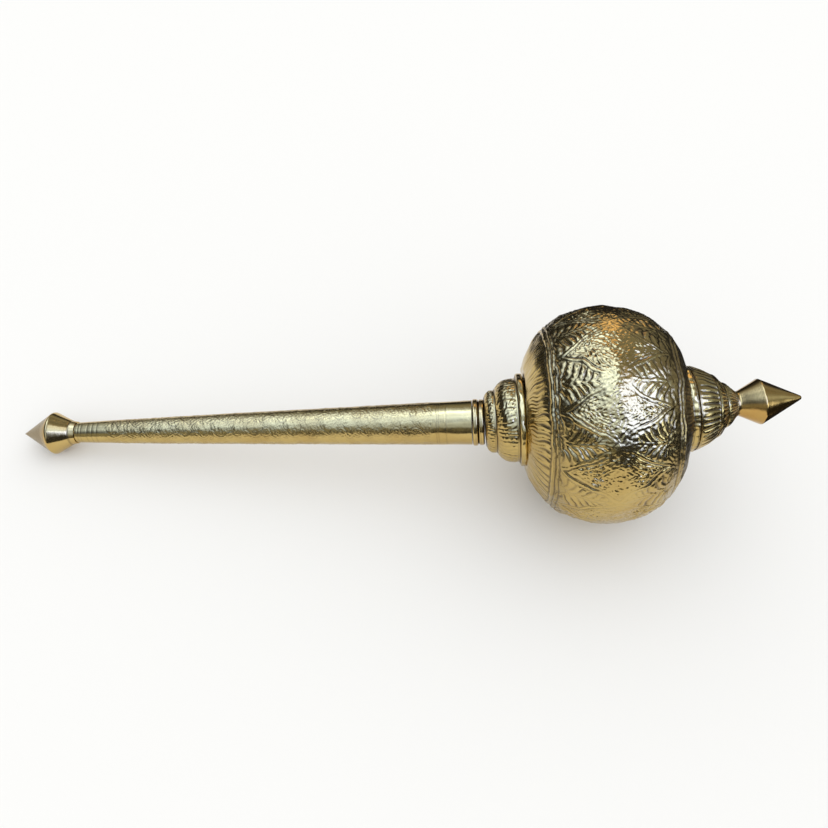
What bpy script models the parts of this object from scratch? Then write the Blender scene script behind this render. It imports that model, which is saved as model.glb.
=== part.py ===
"""A brass ceremonial mace lying on its side, in metres with +Z up.

Seven turned and carved pieces are threaded on one line: pommel, handle, collar, cup, globe, cap and finial.
A station is a distance in millimetres along that line, measured from the neck where the handle meets the cup,
and it grows towards the finial. The line is bent a little at the neck and at the crown, as on the handmade piece.
The mace lies on a small flat on the globe and another on the pommel. The origin is at the globe's flat.
"""

import math

import bmesh
import bpy
from mathutils import Matrix, Vector

MM = 0.001
WELD = 0.0001
GAP = 0.3
LEVEL = 0.05

# The pommel: a blunt cone, a rounded rim and a second cone down to the neck band.
POMMEL_TIP = -373.9
POMMEL_RIM = -347.0
POMMEL_RADIUS = 17.4
POMMEL_ROUNDING = 1.7
POMMEL_BAND = -332.5
POMMEL_BAND_RADIUS = 9.6
POMMEL_END = -328.3
POMMEL_END_RADIUS = 8.7

# The handle: a slightly swollen taper with a band of turned lines near each end.
HANDLE_START = POMMEL_END + GAP
HANDLE_END = -9.9
HANDLE_THIN = 8.0
HANDLE_THICK = 17.1
HANDLE_SWELL = 0.86
HANDLE_STEPS = 6
LINE_DEPTH = 0.45
LINE_WIDTH = 1.1
LINE_STATIONS = (-309.0, -29.0)

# The collar: two rounded rings with a groove between them. Its end is cut off along the cup's face.
COLLAR_START = HANDLE_END + GAP
COLLAR_END = 1.0
COLLAR_RADII = (18.0, 17.6)
COLLAR_GROOVE = 2.2

# The cup: two fluted swellings and a plain ring. Its end is cut off along the globe's face.
CUP_START = 0.0
CUP_WAIST = 7.8
CUP_RING = 24.6
CUP_END = 30.7
CUP_SMALL_RADII = (18.6, 24.0)
CUP_LARGE_RADII = (24.6, 32.0)
CUP_RING_RADIUS = 35.4
CUP_POWER = 3.5
CUP_FLUTE_DEPTH = 1.2

# The globe: a squat superellipse with a low keel round its middle, and its two ends cut off flat.
# It is turned about its line by GLOBE_SPIN from where the middle of a diamond faces down.
GLOBE_START = 30.0
GLOBE_END = 144.6
GLOBE_CENTRE = 88.4
GLOBE_RADIUS = 80.9
GLOBE_KEEL = 1.4
GLOBE_KEEL_WIDTH = 12.0
GLOBE_HALF_LENGTH = 63.8
GLOBE_FULLNESS = 2.38
GLOBE_SPIN = math.radians(-13.6)
DIAMONDS = 11
DIAMOND_START = 48.4
DIAMOND_LENGTH = 77.6
DIAMOND_STEPS = 6
BORDER_HEIGHT = 1.5
RIB_HEIGHT = 1.1
LEAFLET_HEIGHT = 0.8
LEAFLET_PITCH = 3
RING_STATIONS = (46.3, 134.2)
RING_HEIGHT = 0.9
RING_WIDTH = 2.0
PETAL_DEPTH = 1.1

# The cap: a plain ring and three fluted steps. Its start is cut off along the globe's face.
CAP_START = GLOBE_END - 1.5
CAP_RING_END = 153.4
CAP_RING_RADII = (31.6, 32.4)
CAP_GROOVE = 0.6
CAP_STEPS = ((154.2, 170.2, 32.0, 24.6), (170.7, 177.6, 24.2, 17.9), (178.1, 187.6, 17.6, 10.3))
CAP_POWER = 1.5
CAP_FLUTE_DEPTH = 1.0
FLUTES = 36

# The finial: two cones back to back on a short neck.
FINIAL_START = CAP_STEPS[-1][1] + GAP
FINIAL_NECK = 189.6
FINIAL_NECK_RADIUS = 9.3
FINIAL_RIM = 205.5
FINIAL_RADIUS = 17.4
FINIAL_ROUNDING = 0.7
FINIAL_TIP = 236.8
FINIAL_TIP_RADIUS = 1.4

# How the line lies: the head turns away from the handle's line, the globe sits a little askew on it, and the
# crown lifts and turns a little more.
HANDLE_HEADING = math.radians(-1.3)
HEAD_HEADING = math.radians(1.6)
GLOBE_HEADING = math.radians(0.4)
GLOBE_LIFT = math.radians(-0.8)
CROWN_HEADING = math.radians(3.0)
CROWN_LIFT = math.radians(1.2)
GLOBE_FLAT_DEPTH = 0.6
POMMEL_FLAT_DEPTH = 0.8

PLAIN_SIDES = 24
RIM_SIDES = 28
FLUTE_SIDES = 2 * FLUTES
GLOBE_SIDES = 2 * DIAMONDS * DIAMOND_STEPS


def pommel_profile():
    """Return the pommel's (station, radius) points."""
    slope = POMMEL_RADIUS / (POMMEL_RIM - POMMEL_TIP)
    shoulder = POMMEL_RADIUS - slope * POMMEL_ROUNDING
    return [
        (POMMEL_TIP, 0.0),
        (POMMEL_RIM - POMMEL_ROUNDING, shoulder),
        (POMMEL_RIM, POMMEL_RADIUS - 0.2 * POMMEL_ROUNDING),
        (POMMEL_RIM + POMMEL_ROUNDING, shoulder),
        (POMMEL_BAND, POMMEL_BAND_RADIUS),
        (POMMEL_END, POMMEL_END_RADIUS),
        (POMMEL_END, 0.0),
    ]


def handle_radius(station):
    """Return the handle's radius at a station."""
    share = (station - HANDLE_START) / (HANDLE_END - HANDLE_START)
    return HANDLE_THIN + (HANDLE_THICK - HANDLE_THIN) * max(share, 0.0) ** HANDLE_SWELL


def handle_profile():
    """Return the handle's points, with one V-shaped turned line near each end."""
    length = HANDLE_END - HANDLE_START
    points = [(station, handle_radius(station)) for station in
              (HANDLE_START + length * step / HANDLE_STEPS for step in range(HANDLE_STEPS + 1))]
    for line in LINE_STATIONS:
        for side in (-1, 0, 1):
            station = line + side * LINE_WIDTH / 2
            points.append((station, handle_radius(station) - (LINE_DEPTH if side == 0 else 0.0)))
    points.sort()
    return [(HANDLE_START, 0.0)] + points + [(HANDLE_END, 0.0)]


def collar_profile():
    """Return the points of the two rings."""
    middle = (COLLAR_START + COLLAR_END) / 2
    points = [(COLLAR_START, 0.0)]
    for start, end, radius in ((COLLAR_START, middle, COLLAR_RADII[0]), (middle, COLLAR_END, COLLAR_RADII[1])):
        length = end - start
        points.append((start, radius - COLLAR_GROOVE / 2))
        points.append((start + 0.25 * length, radius))
        points.append((start + 0.75 * length, radius))
    points.append((COLLAR_END, COLLAR_RADII[1] - COLLAR_GROOVE / 2))
    points.append((COLLAR_END, 0.0))
    return points


def swell(wide, narrow, wide_radius, narrow_radius, power, steps):
    """Return points from a swelling's wide end to its narrow end, falling as a power of the distance."""
    points = []
    for step in range(steps + 1):
        share = step / steps
        radius = wide_radius - (wide_radius - narrow_radius) * share ** power
        points.append((wide + (narrow - wide) * share, radius))
    return points


def cup_profile():
    """Return the points of the cup's two swellings and its ring."""
    small = swell(CUP_WAIST, CUP_START, CUP_SMALL_RADII[1], CUP_SMALL_RADII[0], CUP_POWER, 2)
    large = swell(CUP_RING - 0.5, CUP_WAIST + 0.4, CUP_LARGE_RADII[1], CUP_LARGE_RADII[0], CUP_POWER, 3)
    ring = [
        (CUP_RING, CUP_RING_RADIUS - 1.2),
        (CUP_RING + 1.0, CUP_RING_RADIUS),
        (CUP_END, CUP_RING_RADIUS),
        (CUP_END, 0.0),
    ]
    return [(CUP_START, 0.0)] + small[::-1] + large[::-1] + ring


def cup_relief(station, angle):
    """Return how far the flutes cut in at a place on the cup."""
    if not CUP_START < station < CUP_RING - 0.1:
        return 0.0
    return -CUP_FLUTE_DEPTH * flute_share(angle)


def flute_share(angle):
    """Return 1 in the bottom of a flute and 0 on the crest between two flutes."""
    return 0.5 - 0.5 * math.cos(angle * FLUTES)


def globe_radius(station):
    """Return the plain globe's radius at a station."""
    offset = abs(station - GLOBE_CENTRE)
    keel = GLOBE_KEEL * math.exp(-(offset / GLOBE_KEEL_WIDTH) ** 2)
    return keel + GLOBE_RADIUS * (1.0 - (offset / GLOBE_HALF_LENGTH) ** GLOBE_FULLNESS) ** (1.0 / GLOBE_FULLNESS)


def globe_profile():
    """Return the globe's points: rows of the diamond net, then the ring and the petals at each end."""
    pitch = DIAMOND_LENGTH / (2 * DIAMOND_STEPS)
    stations = [DIAMOND_START + pitch * row for row in range(2 * DIAMOND_STEPS + 2)]
    first_ring, last_ring = RING_STATIONS
    stations += [first_ring, first_ring - RING_WIDTH, (first_ring + GLOBE_START) / 2, GLOBE_START]
    stations += [last_ring, last_ring + RING_WIDTH, GLOBE_END]
    points = [(station, globe_radius(station)) for station in sorted(stations)]
    return [(GLOBE_START, 0.0)] + points + [(GLOBE_END, 0.0)]


def globe_relief(station, angle):
    """Return the height of the globe's carving at a place: petals, rings, diamond borders or leaves."""
    first_ring, last_ring = RING_STATIONS
    column = round(angle / math.tau * GLOBE_SIDES) % (2 * DIAMOND_STEPS)
    if min(abs(station - first_ring), abs(station - last_ring)) < 0.1:
        return RING_HEIGHT
    if not first_ring < station < last_ring:
        return -PETAL_DEPTH * (column % 2)
    row = round((station - DIAMOND_START) / DIAMOND_LENGTH * 2 * DIAMOND_STEPS)
    from_border = (column - row) % (2 * DIAMOND_STEPS), (column + row) % (2 * DIAMOND_STEPS)
    if 0 in from_border:
        return BORDER_HEIGHT
    return leaf_height(row, abs(column - DIAMOND_STEPS))


def leaf_height(row, aside):
    """Return the height of the leaf that fills each triangle between the diamonds.

    row counts along the net, and aside counts columns from the leaf's middle rib.
    """
    from_base = min(row, 2 * DIAMOND_STEPS - row)
    if from_base + aside >= DIAMOND_STEPS:
        return 0.0
    if aside == 0:
        return RIB_HEIGHT
    return LEAFLET_HEIGHT if (from_base - aside) % LEAFLET_PITCH == 0 else 0.0


def cap_profile():
    """Return the points of the cap's ring and its three steps."""
    points = [
        (CAP_START, 0.0),
        (CAP_START, CAP_RING_RADII[0]),
        (CAP_RING_END, CAP_RING_RADII[1]),
        (CAP_RING_END + CAP_GROOVE, CAP_RING_RADII[1] - 2 * CAP_GROOVE),
    ]
    for index, (start, end, wide, narrow) in enumerate(CAP_STEPS):
        points += swell(start, end, wide, narrow, CAP_POWER, 3 if index == 0 else 2)
    return points + [(CAP_STEPS[-1][1], 0.0)]


def cap_relief(station, angle):
    """Return how far the flutes cut in at a place on the cap."""
    if station < CAP_STEPS[0][0] + 0.1 or station > CAP_STEPS[-1][1] - 0.1:
        return 0.0
    return -CAP_FLUTE_DEPTH * flute_share(angle)


def finial_profile():
    """Return the finial's points."""
    return [
        (FINIAL_START, 0.0),
        (FINIAL_START, FINIAL_NECK_RADIUS + 0.2),
        (FINIAL_NECK, FINIAL_NECK_RADIUS),
        (FINIAL_RIM - FINIAL_ROUNDING, FINIAL_RADIUS - 0.2),
        (FINIAL_RIM, FINIAL_RADIUS),
        (FINIAL_RIM + FINIAL_ROUNDING, FINIAL_RADIUS - 0.3),
        (FINIAL_TIP - FINIAL_TIP_RADIUS / 2, FINIAL_TIP_RADIUS),
        (FINIAL_TIP, 0.0),
    ]


def brass(name, colour, roughness):
    """Return a brass material."""
    material = bpy.data.materials.new(name)
    material.use_nodes = True
    shader = material.node_tree.nodes["Principled BSDF"]
    shader.inputs["Base Color"].default_value = (*colour, 1.0)
    shader.inputs["Metallic"].default_value = 1.0
    shader.inputs["Roughness"].default_value = roughness
    return material


def turned(name, profile, sides, material, collection, axis):
    """Return a piece turned about its own Z, as a profile with a Screw modifier, on an axis empty."""
    outline = [(radius * MM, 0.0, station * MM) for station, radius in reversed(profile)]
    mesh = bpy.data.meshes.new(name)
    mesh.from_pydata(outline, [(index, index + 1) for index in range(len(outline) - 1)], [])
    mesh.materials.append(material)
    piece = bpy.data.objects.new(name, mesh)
    collection.objects.link(piece)
    piece.parent = axis
    screw = piece.modifiers.new("turning", "SCREW")
    screw.axis = "Z"
    screw.steps = sides
    screw.render_steps = sides
    screw.use_merge_vertices = True
    screw.merge_threshold = WELD
    screw.use_smooth_shade = True
    return piece


def made_solid(piece):
    """Replace a piece's profile by its turned mesh, so that it can be carved or cut."""
    graph = bpy.context.evaluated_depsgraph_get()
    solid = bpy.data.meshes.new_from_object(piece.evaluated_get(graph))
    profile = piece.data
    piece.modifiers.clear()
    piece.data = solid
    bpy.data.meshes.remove(profile)
    solid.name = piece.name


def carve(piece, relief):
    """Move each point of a turned piece out or in by the relief at its station and angle."""
    made_solid(piece)
    heights = {}
    for vertex in piece.data.vertices:
        x, y, z = vertex.co
        radius = math.hypot(x, y)
        if radius < MM:
            continue
        height = relief(z / MM, math.atan2(y, x))
        heights[vertex.index] = height
        vertex.co = (x * (1 + height * MM / radius), y * (1 + height * MM / radius), z)
    crease_diagonals(piece.data, heights)
    piece.data.set_sharp_from_angle(angle=math.radians(40.0))


def crease_diagonals(mesh, heights):
    """Split each four-sided face along its more level diagonal, and of two level ones along the higher."""
    work = bmesh.new()
    work.from_mesh(mesh)
    work.verts.ensure_lookup_table()
    for face in list(work.faces):
        if len(face.verts) != 4:
            continue
        corners = [heights.get(vertex.index, 0.0) for vertex in face.verts]
        if max(corners) - min(corners) < LEVEL:
            continue
        slopes = [(round(abs(corners[start] - corners[start + 2]), 3), -corners[start] - corners[start + 2])
                  for start in (0, 1)]
        start = slopes.index(min(slopes))
        bmesh.utils.face_split(face, face.verts[start], face.verts[start + 2])
    work.to_mesh(mesh)
    work.free()


def cut_flat(piece, place, outward):
    """Cut away what lies past a plane in the world, and close the cut with one flat face."""
    bpy.context.view_layer.update()
    to_local = piece.matrix_world.inverted()
    work = bmesh.new()
    work.from_mesh(piece.data)
    geometry = work.verts[:] + work.edges[:] + work.faces[:]
    cut = bmesh.ops.bisect_plane(work, geom=geometry, dist=1e-7, plane_co=to_local @ place,
                                 plane_no=(to_local.to_3x3() @ outward).normalized(), clear_outer=True)
    rim = [item for item in cut["geom_cut"] if isinstance(item, bmesh.types.BMEdge)]
    bmesh.ops.contextual_create(work, geom=rim)
    bmesh.ops.recalc_face_normals(work, faces=work.faces)
    work.to_mesh(piece.data)
    work.free()


def lowest(profile, lean):
    """Return (along, drop) of the lowest point of a turned profile whose line leans up by lean."""
    places = [(station * math.cos(lean) + radius * math.sin(lean), station * math.sin(lean) - radius * math.cos(lean))
              for station, radius in profile]
    return min(places, key=lambda place: place[1])


def globe_outline():
    """Return a fine outline of the plain globe about its own centre, for finding its lowest point."""
    steps = 400
    length = GLOBE_END - GLOBE_START
    stations = [GLOBE_START + length * step / steps for step in range(steps + 1)]
    return [(station - GLOBE_CENTRE, globe_radius(station)) for station in stations]


def resting_lean():
    """Return the lean at which the globe's and the pommel's flats have the depths given above."""
    low, high = 0.0, math.radians(20.0)
    for _ in range(40):
        lean = (low + high) / 2
        globe_height = -lowest(globe_outline(), lean + GLOBE_LIFT)[1] - GLOBE_FLAT_DEPTH
        neck_over_globe = globe_height - GLOBE_CENTRE * math.sin(lean)
        neck_over_pommel = -lowest(pommel_profile(), lean)[1] - POMMEL_FLAT_DEPTH
        if neck_over_pommel > neck_over_globe:
            high = lean
        else:
            low = lean
    return lean


def axis_empty(name, collection, place, heading, lean):
    """Return an empty whose +Z runs along a stretch of the mace's line."""
    empty = bpy.data.objects.new(name, None)
    empty.empty_display_size = 0.05
    collection.objects.link(empty)
    empty.location = place
    empty.rotation_euler = (0.0, math.radians(90.0) - lean, heading)
    return empty


def direction(heading, lean):
    """Return the unit vector of a line with this heading and lean."""
    return Matrix.Rotation(heading, 3, "Z") @ Vector((math.cos(lean), 0.0, math.sin(lean)))


def main():
    for item in list(bpy.data.objects):
        bpy.data.objects.remove(item, do_unlink=True)
    mace = bpy.data.collections.new("ceremonial_mace")
    bpy.context.scene.collection.children.link(mace)

    lean = resting_lean()
    head_line = direction(HEAD_HEADING, lean)
    globe_line = direction(GLOBE_HEADING, lean + GLOBE_LIFT)
    crown_line = direction(CROWN_HEADING, lean + CROWN_LIFT)
    along, drop = lowest(globe_outline(), lean + GLOBE_LIFT)
    to_contact = Matrix.Rotation(GLOBE_HEADING, 3, "Z") @ Vector((along, 0.0, drop + GLOBE_FLAT_DEPTH))
    centre = -to_contact * MM
    neck = centre - GLOBE_CENTRE * MM * head_line
    globe_origin = centre - GLOBE_CENTRE * MM * globe_line
    crown_origin = neck + GLOBE_END * MM * (head_line - crown_line)
    handle_axis = axis_empty("handle_axis", mace, neck, HANDLE_HEADING, lean)
    head_axis = axis_empty("head_axis", mace, neck, HEAD_HEADING, lean)
    globe_axis = axis_empty("globe_axis", mace, globe_origin, GLOBE_HEADING, lean + GLOBE_LIFT)
    crown_axis = axis_empty("crown_axis", mace, crown_origin, CROWN_HEADING, lean + CROWN_LIFT)

    polished = (0.62, 0.47, 0.21)
    worn = (0.52, 0.40, 0.19)
    pommel = turned("pommel", pommel_profile(), RIM_SIDES, brass("pommel_brass", polished, 0.18), mace, handle_axis)
    turned("handle", handle_profile(), PLAIN_SIDES, brass("handle_brass", worn, 0.28), mace, handle_axis)
    collar = turned("collar", collar_profile(), PLAIN_SIDES, brass("collar_brass", polished, 0.18), mace, handle_axis)
    cup = turned("cup", cup_profile(), FLUTE_SIDES, brass("cup_brass", worn, 0.25), mace, head_axis)
    globe = turned("globe", globe_profile(), GLOBE_SIDES, brass("globe_brass", worn, 0.3), mace, globe_axis)
    globe.rotation_euler.z = GLOBE_SPIN
    cap = turned("cap", cap_profile(), FLUTE_SIDES, brass("cap_brass", worn, 0.25), mace, crown_axis)
    turned("finial", finial_profile(), RIM_SIDES, brass("finial_brass", polished, 0.18), mace, crown_axis)

    carve(cup, cup_relief)
    carve(globe, globe_relief)
    carve(cap, cap_relief)
    made_solid(pommel)
    made_solid(collar)
    table = Vector((0.0, 0.0, 0.0))
    down = Vector((0.0, 0.0, -1.0))
    cut_flat(globe, table, down)
    cut_flat(pommel, table, down)
    cut_flat(collar, neck - GAP * MM * head_line, head_line)
    cut_flat(cup, globe_origin + (GLOBE_START - GAP) * MM * globe_line, globe_line)
    cut_flat(cap, globe_origin + (GLOBE_END + GAP) * MM * globe_line, -globe_line)


main()
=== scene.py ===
"""The looks of a brass ceremonial mace that lies on a pale floor.

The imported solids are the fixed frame. Each of them gets a finely modelled piece of the same form in its
place, with the chased work as real relief. Places are in metres with +Z up, and sizes are named in
millimetres. A station is a distance along the mace's line from the neck, where the handle meets the cup. It
grows towards the finial.
"""

import logging
import math
from collections.abc import Callable
from dataclasses import dataclass, field
from enum import Enum

import bmesh
import bpy
import numpy as np
from mathutils import Matrix, Vector


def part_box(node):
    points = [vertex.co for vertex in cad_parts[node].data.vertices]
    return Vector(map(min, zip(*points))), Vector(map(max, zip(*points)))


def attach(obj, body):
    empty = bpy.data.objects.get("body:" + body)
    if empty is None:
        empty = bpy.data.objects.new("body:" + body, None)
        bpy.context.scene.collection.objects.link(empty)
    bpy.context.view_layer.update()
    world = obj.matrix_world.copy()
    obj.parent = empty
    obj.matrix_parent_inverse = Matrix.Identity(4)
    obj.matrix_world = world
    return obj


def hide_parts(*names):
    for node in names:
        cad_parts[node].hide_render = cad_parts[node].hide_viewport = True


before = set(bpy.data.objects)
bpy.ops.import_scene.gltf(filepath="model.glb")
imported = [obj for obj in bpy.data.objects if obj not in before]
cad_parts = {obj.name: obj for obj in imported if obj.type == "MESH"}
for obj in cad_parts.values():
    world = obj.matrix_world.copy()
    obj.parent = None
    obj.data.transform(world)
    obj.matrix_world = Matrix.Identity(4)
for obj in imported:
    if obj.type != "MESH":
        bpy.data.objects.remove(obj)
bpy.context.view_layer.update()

LOG = logging.getLogger("mace")
BODY = "root"
MM = 0.001

# Points closer than this are one point, in metres.
WELD = 1e-6
# Edges that turn more sharply than this are shaded as corners.
CORNER = math.radians(35.0)
# No point counts as nearer to the line than this, in millimetres.
AXIS = 0.5
# A skin is swept over one wedge, which is then copied round.
WEDGES = 12

Outline = list[tuple[float, float]]
Colour = tuple[float, float, float]
# One number for each point of a piece.
Values = np.ndarray


class End(Enum):
    """The two ends of the globe, with the direction from each towards its middle."""

    FOOT = 1
    CROWN = -1


def bell(distance: Values, width: float | Values) -> Values:
    """Return a smooth bump that is 1 at distance 0 and fades out past the width."""
    return np.exp(-((distance / width) ** 2))


def band(distance: Values, width: float) -> Values:
    """Return a flat-topped bump that is 1 about distance 0 and falls off at the width."""
    return np.exp(-((distance / width) ** 4))


def ramp(value: Values, start: float, end: float) -> Values:
    """Return a smooth step from 0 at start to 1 at end, where end may be the lower one."""
    share = np.clip((value - start) / (end - start), 0.0, 1.0)
    return share * share * (3.0 - 2.0 * share)


def centred(turns: Values) -> Values:
    """Return the part of each value past its nearest whole number, from -0.5 to 0.5."""
    return turns - np.round(turns)


def read_vectors(mesh: bpy.types.Mesh, what: str) -> np.ndarray:
    """Return a vector of each of a mesh's points, such as co or normal, one in each row."""
    flat = np.zeros(len(mesh.vertices) * 3, np.float32)
    mesh.vertices.foreach_get(what, flat)
    return flat.reshape(-1, 3)


def write_places(mesh: bpy.types.Mesh, places: np.ndarray) -> None:
    """Move a mesh's points to the given places, one in each row."""
    mesh.vertices.foreach_set("co", places.astype(np.float32).ravel())


def put_in_scene(name: str, data: bpy.types.ID) -> bpy.types.Object:
    """Return a new object in the scene with that data."""
    item = bpy.data.objects.new(name, data)
    bpy.context.scene.collection.objects.link(item)
    return item


@dataclass(frozen=True)
class Line:
    """A straight stretch of the mace's line.

    Attributes:
        start: where its station 0 lies, in metres.
        heading: its turn about +Z, in radians.
        lean: its rise above the floor, in radians.
    """

    start: Vector
    heading: float
    lean: float

    def direction(self) -> Vector:
        """Return the unit vector towards the finial."""
        level = Vector((math.cos(self.lean), 0.0, math.sin(self.lean)))
        return Matrix.Rotation(self.heading, 3, "Z") @ level

    def matrix(self) -> Matrix:
        """Return the matrix from a turned piece's own space, with +Z along the line, to the frame."""
        turn = Matrix.Rotation(self.heading, 4, "Z") @ Matrix.Rotation(math.pi / 2 - self.lean, 4, "Y")
        return Matrix.Translation(self.start) @ turn


@dataclass(frozen=True)
class Unevenness:
    """The slight, smooth irregularity of hand work, as a sum of waves in random directions.

    Attributes:
        height: the usual height of its waves, in millimetres.
        length: their usual length, in millimetres.
        seed: the seed of their directions.
        waves: how many of them there are.
    """

    height: float
    length: float
    seed: int
    waves: int = 18

    def at(self, points: np.ndarray) -> Values:
        """Return the height at each point.

        Args:
            points: an array of places in millimetres, one in each row.

        Returns:
            One height for each row, in millimetres.
        """
        random = np.random.default_rng(self.seed)
        directions = random.normal(size=(self.waves, 3))
        directions /= np.linalg.norm(directions, axis=1, keepdims=True)
        lengths = self.length * random.uniform(0.7, 1.5, self.waves)
        phases = random.uniform(0.0, math.tau, self.waves)
        turns = points @ (directions / lengths[:, None]).T * math.tau + phases
        return self.height * math.sqrt(2.0 / self.waves) * np.cos(turns).sum(axis=1)


@dataclass(frozen=True)
class Places:
    """Where the points of a turned piece lie, in its own space and in millimetres.

    Attributes:
        points: the places themselves, one in each row.
        station: how far along the line each one is.
        radius: how far from the line each one is, and at least a little, for a share of it to make sense.
        angle: the angle about the line, where 0 faces down and half a turn faces up.
    """

    points: np.ndarray
    station: Values
    radius: Values
    angle: Values

    @classmethod
    def of(cls, mesh: bpy.types.Mesh) -> "Places":
        """Return the places of a mesh's points."""
        points = read_vectors(mesh, "co").astype(float) / MM
        radius = np.maximum(np.hypot(points[:, 0], points[:, 1]), AXIS)
        return cls(points, points[:, 2], radius, np.arctan2(points[:, 1], points[:, 0]))

    def moved(self, along: float | Values, around: Values) -> "Places":
        """Return the same places with their stations and arcs shifted by some millimetres."""
        turned = self.angle + around / self.radius
        return Places(self.points, self.station + along, self.radius, turned)

    def past(self, start: float, end: float) -> Values:
        """Return a smooth step over station, from 0 at start to 1 at end, where end may be the lower one."""
        return ramp(self.station, start, end)

    def uneven(self, height: float, length: float, seed: int) -> Values:
        """Return the height of some hand-made unevenness at each place."""
        return Unevenness(height, length, seed).at(self.points)


@dataclass
class Carving:
    """The relief, the tarnish and the painted shade of a piece, point by point.

    Attributes:
        places: where the points lie.
        raised: how far each point is raised, in millimetres.
        sunk: how deep it is cut, in millimetres.
        ripple: how far it is moved by the unevenness of the work, in millimetres.
        tarnish_and_shade: how dark it is painted, from 0 to 1, for tarnish and dirt and, in a few places, for
            painted shade.
        chased: how much its skin is covered with the finest chisel marks, from 0 to 1.
    """

    places: Places
    raised: Values
    sunk: Values
    ripple: Values
    tarnish_and_shade: Values
    chased: Values

    @classmethod
    def blank(cls, places: Places) -> "Carving":
        """Return a carving with nothing carved."""
        return cls(places, *(np.zeros(len(places.station)) for _ in range(5)))

    def lift(self, share: Values, height: float) -> None:
        """Raise the surface to a share of a height, where nothing higher is there yet."""
        self.raised = np.maximum(self.raised, height * share)

    def cut(self, share: Values, depth: float, dark: float = 1.0) -> None:
        """Sink the surface to a share of a depth, and darken it there: dirt that stays in the cut, and in a
        few places painted shade.

        Args:
            share: from 0 to 1 at each point.
            depth: the full depth in millimetres.
            dark: how dark the bottom of the full cut is.
        """
        self.sunk = np.maximum(self.sunk, depth * share)
        self.tarnish_and_shade = np.maximum(self.tarnish_and_shade, dark * share)

    def score(self, distance: Values, width: float | Values, depth: float, dark: float,
              share: float | Values = 1.0) -> None:
        """Cut a line.

        Args:
            distance: how far each point is from the middle of the line, in millimetres.
            width: how far from there the line fades out.
            depth: how deep it is, in millimetres.
            dark: how dark its bottom is, from 0 to 1.
            share: how much of the line there is at each point, from 0 to 1.
        """
        self.cut(bell(distance, width) * share, depth, dark)

    def ring(self, station: float, width: float, depth: float, dark: float) -> None:
        """Cut a line round the piece at a station."""
        self.score(self.places.station - station, width, depth, dark)

    def chase(self, share: Values) -> None:
        """Cover a share of the skin with the finest chisel marks."""
        self.chased = np.maximum(self.chased, share)

    def ruffle(self, height: Values) -> None:
        """Add some unevenness to the surface."""
        self.ripple += height

    def height(self) -> Values:
        """Return how far each point is moved outwards, in millimetres."""
        return self.raised - self.sunk + self.ripple


class Graph:
    """A node tree, with short ways to add and link its nodes."""

    def __init__(self, tree: bpy.types.NodeTree) -> None:
        """Work on that tree."""
        self.tree = tree

    def add(self, kind: str, settings: dict | None = None, **inputs: object) -> bpy.types.Node:
        """Add a node.

        Args:
            kind: the node's type, without the words ShaderNode.
            settings: the node's own properties.
            inputs: a value or another node's output for each input, with _ for a space in its name.

        Returns:
            The new node.
        """
        node = self.tree.nodes.new("ShaderNode" + kind)
        for name, value in (settings or {}).items():
            setattr(node, name, value)
        for name, value in inputs.items():
            self.feed(node.inputs[name.replace("_", " ")], value)
        return node

    def feed(self, socket: bpy.types.NodeSocket, value: object) -> None:
        """Link an output to a socket, or set the socket to a plain value.

        Args:
            socket: the input.
            value: a node's output, or a plain value.
        """
        if isinstance(value, bpy.types.NodeSocket):
            self.tree.links.new(value, socket)
        else:
            socket.default_value = value

    def work_out(self, operation: str, *values: object, kind: str = "Math") -> bpy.types.NodeSocket:
        """Return the result of one sum.

        Args:
            operation: its name.
            values: what it takes, in order.
            kind: Math for numbers, or VectorMath.

        Returns:
            The node's output.
        """
        node = self.add(kind, {"operation": operation})
        for socket, value in zip(node.inputs, values):
            self.feed(socket, value)
        return next(socket for socket in node.outputs if socket.enabled)

    def vector(self, operation: str, *values: object) -> bpy.types.NodeSocket:
        """Return the result of one sum of vectors."""
        return self.work_out(operation, *values, kind="VectorMath")

    def read(self, attribute: str) -> bpy.types.NodeSocket:
        """Return what the mesh keeps under that name."""
        return self.add("Attribute", {"attribute_name": attribute}).outputs["Fac"]

    def step(self, value: object, start: float, end: float) -> bpy.types.NodeSocket:
        """Return a smooth step from 0 where the value is start to 1 where it is end."""
        settings = {"interpolation_type": "SMOOTHSTEP"}
        return self.add("MapRange", settings, Value=value, From_Min=start, From_Max=end).outputs[0]

    def mix(self, share: object, first: object, second: object) -> bpy.types.NodeSocket:
        """Return a colour between the first and the second.

        Args:
            share: how much of the second there is, from 0 to 1.
            first: a colour.
            second: another.

        Returns:
            The node's output.
        """
        node = self.add("Mix", {"data_type": "RGBA"})
        sockets = (node.inputs["Factor"], node.inputs[6], node.inputs[7])
        for socket, value in zip(sockets, (share, first, second)):
            self.feed(socket, value)
        return node.outputs[2]


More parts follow.
